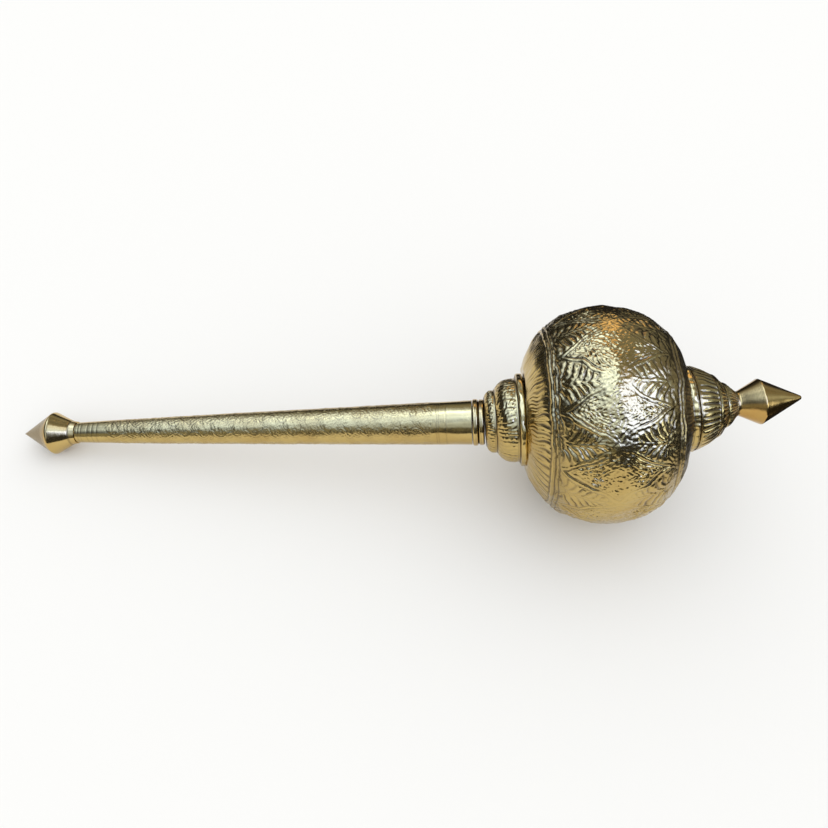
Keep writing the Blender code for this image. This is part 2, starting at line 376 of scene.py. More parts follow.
@dataclass(frozen=True)
class BrassFinish:
    """Brass with a thin, uneven tarnish, dark dirt in its cuts, painted shade where a piece asks for it, and
    a slightly hammered skin.

    Attributes:
        bright: the colour of clean brass, as linear red, green and blue.
        warm: the colour where it has browned a little.
        dirt: the colour in the cuts, which is also the colour of the painted shade.
        roughness: how rough clean brass is.
        hammer: the depth of the hammer marks, in millimetres.
        grain: the depth of the specks of dirt.
        chisel: the depth of the finest chisel marks.
        marks: the depth of the fine turning marks.
        patch_scale: how many of the browned patches go in a metre, roughly.
        dent_scale: how many hammer marks do.
        tick_scale: how many chisel marks do.
        speck_scale: how many specks do.
        turn_scale: how many turning marks go in a millimetre.
    """

    bright: Colour = (0.57, 0.415, 0.152)
    warm: Colour = (0.515, 0.36, 0.125)
    dirt: Colour = (0.085, 0.065, 0.045)
    roughness: float = 0.16
    hammer: float = 0.05
    grain: float = 0.02
    chisel: float = 0.15
    marks: float = 0.0
    patch_scale: float = 38.0
    dent_scale: float = 300.0
    tick_scale: float = 620.0
    speck_scale: float = 900.0
    turn_scale: float = 2.4

    def material(self, name: str) -> bpy.types.Material:
        """Return the material for one piece.

        Args:
            name: its name.

        Returns:
            The material, which reads each point's tarnish and painted shade, chased and station.
        """
        material = bpy.data.materials.new(name)
        material.use_nodes = True
        graph = Graph(material.node_tree)
        shader = graph.tree.nodes["Principled BSDF"]
        place = graph.add("TexCoord").outputs["Object"]
        patches = graph.add("TexNoise", Vector=place, Scale=self.patch_scale, Detail=3.0).outputs["Fac"]
        specks = graph.add("TexNoise", Vector=place, Scale=self.speck_scale, Detail=2.0).outputs["Fac"]
        # The darkening that each point carries: dirt and tarnish, and in a few places painted shade.
        tarnish_and_shade = graph.read("tarnish_and_shade")
        skin = graph.mix(graph.step(patches, 0.38, 0.68), (*self.bright, 1.0), (*self.warm, 1.0))
        dirt_and_shade = graph.work_out("MULTIPLY_ADD", specks, 0.25, graph.work_out("SUBTRACT", tarnish_and_shade, 0.125))
        graph.feed(shader.inputs["Base Color"], graph.mix(dirt_and_shade, skin, (*self.dirt, 1.0)))
        shader.inputs["Metallic"].default_value = 1.0
        dulled = graph.work_out("MULTIPLY_ADD", tarnish_and_shade, 0.25, self.roughness - 0.05)
        graph.feed(shader.inputs["Roughness"], graph.work_out("MULTIPLY_ADD", patches, 0.1, dulled))
        self.roughen(graph, shader.inputs["Normal"], place, specks)
        return material

    def roughen(self, graph: Graph, normal: bpy.types.NodeSocket, place: bpy.types.NodeSocket,
                specks: bpy.types.NodeSocket) -> None:
        """Give the skin its hammer marks, grain, chisel marks and turning marks.

        Args:
            graph: the material's nodes.
            normal: the shader's input.
            place: the place on the piece.
            specks: the specks of dirt.
        """
        smooth = {"feature": "SMOOTH_F1"}
        dents = graph.add("TexVoronoi", smooth, Vector=place, Scale=self.dent_scale).outputs["Distance"]
        ticks = graph.add("TexNoise", Vector=place, Scale=self.tick_scale, Detail=2.0, Distortion=1.5)
        ticks = graph.work_out("MULTIPLY", ticks.outputs["Fac"], graph.read("chased"))
        station, flat = graph.read("station"), {"noise_dimensions": "1D"}
        turning = graph.add("TexNoise", flat, W=station, Scale=self.turn_scale, Detail=3.0).outputs[0]
        layers = ((dents, self.hammer), (specks, self.grain), (ticks, self.chisel), (turning, self.marks))
        for height, depth in layers:
            bump = graph.add("Bump", Height=height, Distance=depth * MM)
            graph.feed(normal, bump.outputs[0])
            normal = bump.inputs["Normal"]


CHASED = BrassFinish()
POLISHED = BrassFinish(
    bright=(0.58, 0.415, 0.155), warm=(0.54, 0.355, 0.12), roughness=0.13, hammer=0.03, marks=0.03,
)
# Polished brass painted more orange than the rest: a painted reflection of the gold cap and globe that the
# finial mirrors.
WARM_REFLECTION_BRASS = BrassFinish(
    bright=(0.62, 0.4, 0.12), warm=(0.58, 0.33, 0.09), roughness=0.12, hammer=0.03, marks=0.05,
)


@dataclass
class Turned:
    """A piece that is turned about the mace's line and then carved.

    Attributes:
        line: the stretch of the line that it is threaded on.
        finish: its brass.
        name: the piece's name.
        node: the solid whose form it has.
        sides: how many steps its turn has.
        uneven: how irregular its surface is.
    """

    line: Line
    finish: BrassFinish
    name: str = ""
    node: str = ""
    sides: int = 96
    uneven: Unevenness = field(default_factory=lambda: Unevenness(0.05, 14.0, 3))

    def outline(self) -> Outline:
        """Return the (station, radius) points of the piece's skin, from one end to the other."""
        raise NotImplementedError

    def carve(self, places: Places, carving: Carving) -> None:
        """Carve the piece. A plain one is left as it is.

        Args:
            places: where the points lie.
            carving: what is carved.
        """

    def blank(self) -> bpy.types.Mesh:
        """Return the turned skin in the piece's own space, open where the outline doesn't reach the line."""
        work = bmesh.new()
        points = [work.verts.new((radius * MM, 0.0, station * MM)) for station, radius in self.outline()]
        for first, second in zip(points[:-1], points[1:]):
            work.edges.new((first, second))
        self.spin(work, math.tau / WEDGES, self.sides // WEDGES, False)
        self.spin(work, math.tau * (1 - 1 / WEDGES), WEDGES - 1, True)
        bmesh.ops.remove_doubles(work, verts=work.verts[:], dist=WELD)
        bmesh.ops.recalc_face_normals(work, faces=work.faces[:])
        mesh = bpy.data.meshes.new(self.name)
        work.to_mesh(mesh)
        work.free()
        return mesh

    def relieve(self, mesh: bpy.types.Mesh) -> None:
        """Carve the skin, and keep what the material reads of it at each point.

        Args:
            mesh: the blank, in the piece's own space.
        """
        places = Places.of(mesh)
        carving = Carving.blank(places)
        self.carve(places, carving)
        height = (carving.height() + self.uneven.at(places.points)) * ramp(places.radius, AXIS, 2.0)
        write_places(mesh, (places.points + read_vectors(mesh, "normal") * height[:, None]) * MM)
        tarnish_and_shade = np.clip(carving.tarnish_and_shade, 0.0, 1.0)
        kept = {"tarnish_and_shade": tarnish_and_shade, "chased": carving.chased, "station": places.station}
        for name, values in kept.items():
            attribute = mesh.attributes.new(name, "FLOAT", "POINT")
            attribute.data.foreach_set("value", values.astype(np.float32))

    def close(self, mesh: bpy.types.Mesh) -> None:
        """Close the skin's open ends, and shade it smooth but for its corners.

        Args:
            mesh: the carved skin.
        """
        work = bmesh.new()
        work.from_mesh(mesh)
        rims = [edge for edge in work.edges if edge.is_boundary]
        bmesh.ops.holes_fill(work, edges=rims, sides=0)
        bmesh.ops.recalc_face_normals(work, faces=work.faces[:])
        work.to_mesh(mesh)
        work.free()
        mesh.shade_smooth()
        mesh.set_sharp_from_angle(angle=CORNER)

    @staticmethod
    def spin(work: bmesh.types.BMesh, angle: float, steps: int, copies: bool) -> None:
        """Spin all that the mesh holds about its own Z.

        Args:
            work: the mesh.
            angle: how far it is spun, in radians.
            steps: in how many steps.
            copies: whether each step leaves a copy, rather than a swept surface.
        """
        parts = work.verts[:] + work.edges[:] + work.faces[:]
        bmesh.ops.spin(work, geom=parts, cent=(0, 0, 0), axis=(0, 0, 1), dvec=(0, 0, 0), angle=angle,
                       steps=steps, use_merge=False, use_duplicate=copies)

    def build(self) -> bpy.types.Object:
        """Turn, carve and place the piece, and dress it in its brass."""
        mesh = self.blank()
        self.relieve(mesh)
        self.close(mesh)
        mesh.transform(self.line.matrix())
        self.press_on_floor(mesh)
        mesh.materials.append(self.finish.material(self.name + "_brass"))
        piece = put_in_scene(self.name, mesh)
        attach(piece, BODY)
        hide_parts(self.node)
        self.report(piece)
        return piece

    def report(self, piece: bpy.types.Object) -> None:
        """Say how many points the piece has, and how far its box is from its solid's.

        Args:
            piece: the finished piece.
        """
        corners = np.array([piece.matrix_world @ Vector(corner) for corner in piece.bound_box])
        ends = np.array([corners.min(axis=0), corners.max(axis=0)])
        gaps = (ends - np.array([tuple(corner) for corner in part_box(self.node)])) / MM
        count = len(piece.data.vertices)
        LOG.info("%s: %d points, off its solid by %s mm", self.name, count, gaps.round(1).tolist())

    @staticmethod
    def press_on_floor(mesh: bpy.types.Mesh) -> None:
        """Flatten what would reach below the floor.

        Args:
            mesh: the mesh in the frame's space.
        """
        places = read_vectors(mesh, "co")
        places[:, 2] = np.maximum(places[:, 2], 0.0)
        write_places(mesh, places)
        mesh.update()


def evenly(radius: Callable[[float], float], start: float, end: float, rows: int) -> Outline:
    """Return points at even distances along a curve of radius over station.

    Args:
        radius: a function from station to radius.
        start: the first station.
        end: the last station.
        rows: how many points there are.

    Returns:
        The points, from the first station to the last.
    """
    fine = np.linspace(start, end, 2000)
    radii = np.array([radius(station) for station in fine])
    length = np.concatenate([[0.0], np.cumsum(np.hypot(np.diff(fine), np.diff(radii)))])
    stations = np.interp(np.linspace(0.0, length[-1], rows), length, fine)
    return [(float(station), float(radius(station))) for station in stations]


def rounded(points: Outline, reach: float, steps: int = 3) -> Outline:
    """Return an outline with each inner corner replaced by a small curve.

    Args:
        points: the outline with its sharp corners.
        reach: how far from the corner the curve starts, at most, in millimetres.
        steps: how many pieces the curve has.

    Returns:
        The softened outline.
    """
    soft = [points[0]]
    for before, corner, after in zip(points[:-2], points[1:-1], points[2:]):
        corner_place = Vector(corner)
        ends = []
        for neighbour in (before, after):
            arm = Vector(neighbour) - corner_place
            ends.append(corner_place + arm.normalized() * min(reach, arm.length * 0.4))
        for step in range(steps + 1):
            share = step / steps
            place = ends[0].lerp(corner_place, share).lerp(corner_place.lerp(ends[1], share), share)
            soft.append((place.x, place.y))
    soft.append(points[-1])
    return soft


def filled(points: Outline, spacing: float) -> Outline:
    """Return an outline with more points on its long straight runs.

    Args:
        points: the outline.
        spacing: how far apart its points may be, in millimetres.

    Returns:
        The fuller outline. A run that reaches the line stays as it is.
    """
    full = [points[0]]
    for (from_station, from_radius), (to_station, to_radius) in zip(points[:-1], points[1:]):
        length = math.hypot(to_station - from_station, to_radius - from_radius)
        count = max(1, math.ceil(length / spacing)) if min(from_radius, to_radius) > 0.0 else 1
        for step in range(1, count + 1):
            share = step / count
            full.append((from_station + (to_station - from_station) * share,
                         from_radius + (to_radius - from_radius) * share))
    return full


@dataclass
class Pommel(Turned):
    """The blunt cone at the handle's end, with its rim and its neck band."""

    name: str = "pommel_piece"
    node: str = "pommel"
    tip: float = -373.9
    rim: float = -347.0
    radius: float = 17.4
    rounding: float = 1.7
    band: float = -332.5
    band_radius: float = 9.6
    end: float = -328.3
    end_radius: float = 8.7
    scribed: float = -355.0

    def outline(self) -> Outline:
        """Return the cone, the rim, the second cone and the neck band."""
        slope = self.radius / (self.rim - self.tip)
        shoulder = self.radius - slope * self.rounding
        corners = [
            (self.tip, 0.0),
            (self.rim - self.rounding, shoulder),
            (self.rim, self.radius - 0.2 * self.rounding),
            (self.rim + self.rounding, shoulder),
            (self.band, self.band_radius),
            (self.end, self.end_radius),
        ]
        return filled(rounded(corners, 1.2), 1.0)

    def carve(self, places: Places, carving: Carving) -> None:
        """Stain the tip's cone, scribe it, and set off the rim and the neck band."""
        point = places.past(self.rim - 2.0, self.rim - 3.5)
        carving.ruffle(places.uneven(0.07, 2.6, 16) * point)
        carving.cut(np.clip(places.uneven(0.6, 3.2, 17), 0.0, 0.6) * point, depth=0.0, dark=0.7)
        carving.ring(self.scribed, width=0.5, depth=0.15, dark=0.5)
        carving.ring(self.rim - 3.0, width=0.6, depth=0.2, dark=0.5)
        carving.ring(self.band, width=0.5, depth=0.25, dark=0.7)


@dataclass(frozen=True)
class Vine:
    """Where the handle's points lie on the nearest vine.

    Attributes:
        along: how far along the vine each point is, in waves.
        across: how far from its middle it is, in millimetres.
        width: how wide its strip is there.
        area: 1 where there are vines and 0 on the plain ends.
    """

    along: Values
    across: Values
    width: Values
    area: Values


@dataclass
class Handle(Turned):
    """The tapered tube, chased all round with waving vines between its plain ends."""

    name: str = "handle_piece"
    node: str = "handle"
    sides: int = 180
    start: float = -328.0
    end: float = -9.9
    thin: float = 8.0
    thick: float = 17.1
    swell: float = 0.86
    rows: int = 530
    vines: int = 6
    vine_start: float = -306.0
    vine_end: float = -38.0
    wave: float = 14.7
    curl: float = 1.8
    rings: tuple[float, ...] = (-325.0, -322.5, -317.0, -313.0, -309.0, -36.4, -34.8, -29.0)

    def radius_at(self, station: float) -> float:
        """Return the tube's radius at a station."""
        share = (station - self.start) / (self.end - self.start)
        return self.thin + (self.thick - self.thin) * max(share, 0.0) ** self.swell

    def outline(self) -> Outline:
        """Return the tube."""
        return evenly(self.radius_at, self.start, self.end, self.rows)

    def carve(self, places: Places, carving: Carving) -> None:
        """Cut the rings, and the vines between them."""
        for ring in self.rings:
            carving.ring(ring, width=0.4, depth=0.08, dark=0.3)
        hand = places.moved(places.uneven(0.9, 16.0, 11), places.uneven(0.7, 11.0, 12))
        area = places.past(self.vine_start, self.vine_start + 14.0)
        area *= places.past(self.vine_end, self.vine_end - 3.0)
        width = math.tau * hand.radius / self.vines
        turns = hand.angle / math.tau * self.vines
        across = centred(turns) * width
        along = hand.station / self.wave + 0.37 * np.round(turns)
        vine = Vine(along, across, width, area)
        self.cut_stem(vine, carving)
        self.cut_leaves(vine, carving)
        chisel = places.uneven(0.045, 1.7, 14) + places.uneven(0.04, 6.0, 15)
        carving.ruffle(chisel * area)
        carving.chase(area)

    def cut_stem(self, vine: Vine, carving: Carving) -> None:
        """Chase the waving stem as a raised line between two cuts.

        Args:
            vine: where the points lie on it.
            carving: what is carved.
        """
        swing = 0.2 * vine.width
        slope = swing * math.tau / self.wave * np.cos(math.tau * vine.along)
        distance = np.abs(vine.across - swing * np.sin(math.tau * vine.along)) / np.hypot(1.0, slope)
        carving.lift(band(distance, 0.6) * vine.area, height=0.05)
        carving.score(distance - 1.05, width=0.42, depth=0.14, dark=0.3, share=vine.area)

    def cut_leaves(self, vine: Vine, carving: Carving) -> None:
        """Chase a curl in each hollow of the stem, and slanting ticks beyond each bend.

        Args:
            vine: where the points lie on it.
            carving: what is carved.
        """
        bend = 2.0 * vine.along - 0.5
        side = np.where(np.round(bend) % 2 == 0, 1.0, -1.0)
        forward = centred(bend) * self.wave / 2.0
        aside = vine.across + side * 0.12 * vine.width
        hollow = np.hypot(forward, aside)
        turn = np.arctan2(aside * side, forward) / math.tau
        arm = np.abs(centred(hollow / self.curl - turn)) * self.curl
        carving.score(arm, width=0.42, depth=0.13, dark=0.3, share=ramp(hollow, 2.9, 2.2) * vine.area)
        beyond = vine.across * side - 0.37 * vine.width
        tick = np.abs(centred((forward + 0.7 * beyond) / self.curl)) * self.curl * 0.8
        patch = ramp(np.abs(beyond), 0.16 * vine.width, 0.12 * vine.width) * ramp(np.abs(forward), 4.0, 3.2)
        carving.score(tick, width=0.42, depth=0.14, dark=0.12, share=patch * vine.area)


@dataclass
class Collar(Turned):
    """The double ring at the thick end of the handle."""

    name: str = "collar_piece"
    node: str = "collar"
    sides: int = 144
    start: float = -9.6
    end: float = -0.3
    radii: tuple[float, float] = (18.0, 17.6)
    groove: float = 2.2

    def outline(self) -> Outline:
        """Return two rings with a deep groove between them."""
        middle = (self.start + self.end) / 2
        half = (self.end - self.start) / 2
        points = []
        for start, radius in ((self.start, self.radii[0]), (middle, self.radii[1])):
            for step in range(13):
                share = step / 12
                drop = self.groove / 2 * abs(2 * share - 1) ** 5
                points.append((start + half * (0.05 + 0.9 * share), radius - drop))
            if start < middle:
                points.append((middle, radius - self.groove))
        return points

    def carve(self, places: Places, carving: Carving) -> None:
        """Leave dirt at the ends and in the groove, and cut a hairline round each ring."""
        length = self.end - self.start
        for share in (0.0, 0.5, 1.0):
            carving.cut(band(places.station - self.start - share * length, 0.5), depth=0.0)
        for share in (0.3, 0.7):
            carving.ring(self.start + share * length, width=0.3, depth=0.1, dark=0.4)


@dataclass
class Fluted(Turned):
    """A turned piece with flutes cut round it by hand.

    Attributes:
        flutes: how many there are.
        flute_depth: how deep the deepest is, in millimetres.
        faintest: the share of that depth which the faintest has.
        wander: how far a flute strays from its place, in millimetres.
        dirt: how dark its bottom is, from 0 to 1.
        skin: how rough the fluted skin is, in millimetres.
    """

    sides: int = 468
    flutes: int = 54
    flute_depth: float = 0.5
    faintest: float = 0.25
    wander: float = 0.6
    dirt: float = 0.6
    skin: float = 0.08
    uneven: Unevenness = field(default_factory=lambda: Unevenness(0.12, 11.0, 7))

    def cut_flutes(self, places: Places, carving: Carving, area: Values, width: Values) -> None:
        """Cut grooves between rounded ribs.

        Args:
            places: where the points lie.
            carving: what is carved.
            area: how deep the flutes are at each point, from 0 to 1.
            width: how wide the grooves are at each point, in millimetres.
        """
        hand = places.moved(0.0, places.uneven(self.wander, 10.0, 51))
        pitch = math.tau * places.radius / self.flutes
        turns = hand.angle / math.tau * self.flutes
        depths = np.random.default_rng(52).uniform(self.faintest, 1.0, self.flutes)
        force = depths[np.round(turns).astype(int) % self.flutes]
        distance = np.abs(centred(turns)) * pitch
        groove = bell(distance, width)
        rib = (1.0 - 2.0 * distance / pitch) ** 2
        carving.cut((0.8 * groove + 0.2 * rib) * area * force, self.flute_depth, dark=0.0)
        carving.cut(groove * area * force, depth=0.0, dark=self.dirt)
        carving.ruffle(places.uneven(self.skin, 2.6, 53) * area)


def swell(wide: float, narrow: float, wide_radius: float, narrow_radius: float, power: float,
          steps: int) -> Outline:
    """Return the outline of a swelling, whose radius falls as a power of the distance.

    Args:
        wide: the station of its wide end.
        narrow: the station of its narrow end.
        wide_radius: its radius at the wide end.
        narrow_radius: its radius at the narrow end.
        power: how late it falls.
        steps: how many pieces the outline has.

    Returns:
        The points from the wide end to the narrow end.
    """
    points = []
    for step in range(steps + 1):
        share = math.sin(step / steps * math.pi / 2)
        radius = wide_radius - (wide_radius - narrow_radius) * share ** power
        points.append((wide + (narrow - wide) * share, radius))
    return points


@dataclass
class Cup(Fluted):
    """The two fluted swellings and the ring under the globe."""

    name: str = "cup_piece"
    node: str = "cup"
    start: float = 0.0
    waist: float = 7.8
    ring: float = 24.6
    end: float = 29.7
    small_radii: tuple[float, float] = (18.6, 24.0)
    large_radii: tuple[float, float] = (24.6, 32.0)
    ring_radius: float = 35.4
    power: float = 3.5
    lip: float = 1.1

    def outline(self) -> Outline:
        """Return the two swellings and the ring."""
        small = swell(self.waist, self.start, self.small_radii[1], self.small_radii[0], self.power, 12)
        inner = self.waist + 0.4
        large = swell(self.ring - 0.5, inner, self.large_radii[1], self.large_radii[0], self.power, 24)
        ring = rounded([
            (self.ring, self.ring_radius - 2.4),
            (self.ring + 0.4, self.ring_radius - 0.6),
            (self.ring + 1.4, self.ring_radius),
            (self.end - 1.0, self.ring_radius),
            (self.end, self.ring_radius - 1.0),
        ], 0.8)
        return filled(small[::-1] + large[::-1] + ring, 0.8)

    def carve(self, places: Places, carving: Carving) -> None:
        """Cut the flutes of both swellings up to their plain lips, and leave dirt where the parts meet."""
        small_lip, large_lip = self.waist - self.lip, self.ring - 0.5 - self.lip
        small = places.past(0.2, 1.6) * places.past(small_lip, small_lip - 0.8)
        large = places.past(self.waist + 0.4, self.waist + 2.5)
        large *= places.past(large_lip, large_lip - 1.0)
        wide = 0.4 + 0.3 * places.past(self.waist, large_lip)
        self.cut_flutes(places, carving, small + large, wide)
        for station in (small_lip, large_lip):
            carving.ring(station, width=0.35, depth=0.15, dark=0.4)
        for station in (self.start, self.waist + 0.2, self.ring - 0.2, self.end):
            carving.ring(station, width=0.5, depth=0.0, dark=0.9)
        carving.ruffle(places.uneven(0.12, 7.0, 54) * places.past(self.ring, self.ring + 1.0))


@dataclass
class Globe(Turned):
    """What the four stretches of the globe have in common: its form, and what runs round it.

    Attributes:
        end: which of the globe's ends the stretch belongs to.
        start: the station where the globe begins at the cup.
        stop: the station where it ends at the cap.
        centre: the station where it is widest.
        radius: how wide it is there, in millimetres, without the keel.
        keel: how far the low keel round its middle stands out.
        keel_width: how far from the middle the keel fades out.
        half_length: the distance from the middle at which the form would close.
        fullness: its power as a superellipse, where 2 is an ellipse.
        rings: the stations of the double rings' outer ridges.
        ring_width: how far apart the two ridges of a double ring are.
        dents: what hammering has left on it.
    """

    node: str = "globe"
    end: End = End.FOOT
    start: float = 30.0
    stop: float = 144.6
    centre: float = 88.4
    radius: float = 80.9
    keel: float = 1.4
    keel_width: float = 12.0
    half_length: float = 63.8
    fullness: float = 2.38
    rings: tuple[float, float] = (45.0, 135.5)
    ring_width: float = 2.8
    uneven: Unevenness = field(default_factory=lambda: Unevenness(0.3, 26.0, 5))
    dents: Unevenness = field(default_factory=lambda: Unevenness(0.12, 9.5, 6))

    def radius_at(self, station: float) -> float:
        """Return the plain globe's radius at a station.

        Args:
            station: where, along the line.

        Returns:
            The radius in millimetres.
        """
        offset = abs(station - self.centre)
        keel = self.keel * math.exp(-((offset / self.keel_width) ** 2))
        share = 1.0 - (offset / self.half_length) ** self.fullness
        return keel + self.radius * share ** (1.0 / self.fullness)

    def stretch(self, start: float, end: float, rows: int) -> Outline:
        """Return the globe's skin between two stations."""
        return evenly(self.radius_at, min(start, end), max(start, end), rows)

    def ring(self) -> float:
        """Return the station of this end's double ring."""
        return self.rings[0] if self.end is End.FOOT else self.rings[1]

    def cut_ring(self, places: Places, carving: Carving) -> None:
        """Raise this end's double ring, with a cut on either side and one between.

        Args:
            places: where the points lie.
            carving: what is carved.
        """
        offset = (places.station - self.ring()) * self.end.value
        offset += places.uneven(0.25, 17.0, 8)
        for ridge in (0.0, self.ring_width):
            carving.lift(band(offset - ridge, 0.8), height=0.45)
        for groove, depth in ((-0.5, 0.35), (0.5, 0.4), (1.5, 0.35)):
            carving.score(offset - groove * self.ring_width, width=0.5, depth=depth, dark=0.85)


@dataclass
class GlobeDome(Globe):
    """One end of the globe, chased with petals whose dark cuts start in a hook beside the double ring.

    Attributes:
        edge: the station of its flat face.
        core: the radius to which the flat face is modelled.
        petals: how many there are.
        reach: the lengths of the shortest and the longest line, in millimetres.
        gap: how far from the ring the petals start.
        hook: how far the lines swing aside there, as a share of a petal, and how soon they straighten.
        seed: the seed of what varies from petal to petal.
        painted_ring_shade: how dark the skin is painted beside the ring, from 0 to 1, as painted shade for
            the shadowed floor that the steep slope by the cap mirrors.
    """

    sides: int = 720
    edge: float = 30.0
    core: float = 25.0
    rows: int = 50
    petals: int = 60
    reach: tuple[float, float] = (20.0, 38.0)
    gap: float = 2.2
    hook: tuple[float, float] = (0.07, 1.7)
    seed: int = 21
    painted_ring_shade: float = 0.0

    def outline(self) -> Outline:
        """Return this end of the globe, with its flat face down to under the part that it carries."""
        skin = self.stretch(self.edge, self.ring(), self.rows)
        rim = self.radius_at(self.edge)
        face = [(self.edge, rim + (self.core - rim) * step / 16) for step in range(1, 17)]
        return face[::-1] + skin if self.end is End.FOOT else skin + face

    def carve(self, places: Places, carving: Carving) -> None:
        """Cut the petals."""
        ring = self.ring()
        away = np.hypot(places.station - ring, places.radius - self.radius_at(ring))
        hand = places.moved(0.0, places.uneven(0.6, 16.0, self.seed))
        hook = self.hook[0] * np.exp(-np.maximum(away - self.gap, 0.0) / self.hook[1])
        turns = hand.angle / math.tau * self.petals - hook
        pitch = math.tau * places.radius / self.petals
        self.cut_lines(turns, away, pitch, carving)
        petal = 1.0 - (2.0 * np.abs(centred(turns))) ** 2
        carving.lift((1.0 - (1.0 - petal) ** 2) * ramp(away, max(self.reach), self.gap), height=0.4)
        # Painted shade beside the ring, where the slope mirrors the shadowed floor.
        carving.cut(ramp(away, 0.0, 2.0) * ramp(away, 26.0, 6.0), depth=0.0, dark=self.painted_ring_shade)
        self.cut_ring(places, carving)
        carving.ruffle(self.dents.at(places.points))

    def cut_lines(self, turns: Values, away: Values, pitch: Values, carving: Carving) -> None:
        """Cut the line on each side of every petal, with its heavy head, and a fine line along its middle.

        Args:
            turns: the number of the petal at each point, and how far across it the point is.
            away: how far each point is from the ring, in millimetres.
            pitch: how wide a petal is there.
            carving: what is carved.
        """
        random = np.random.default_rng(self.seed)
        reaches = random.uniform(*self.reach, (2, self.petals))
        forces = random.uniform(0.65, 1.0, (2, self.petals))
        which = np.floor(turns).astype(int) % self.petals
        middle = np.abs(centred(turns - 0.5)) * pitch
        end, force = reaches[1][which], forces[1][which]
        fine = ramp(away, self.gap + 4.0, self.gap + 8.0) * ramp(away, end, 0.5 * end)
        carving.score(middle, width=0.4, depth=0.15, dark=0.35, share=fine * force)
        which = np.round(turns).astype(int) % self.petals
        edge = np.abs(centred(turns)) * pitch
        end, force = reaches[0][which], forces[0][which]
        long = ramp(away, self.gap - 0.6, self.gap) * ramp(away, end, 0.4 * end)
        wide = 0.55 + 0.55 * ramp(away, 20.0, self.gap)
        carving.score(edge, wide, depth=0.5, dark=1.0, share=long * force)
        head = band(np.hypot(edge, (away - self.gap - 2.0) * 0.36), 0.95)
        carving.cut(head * force, depth=0.6)


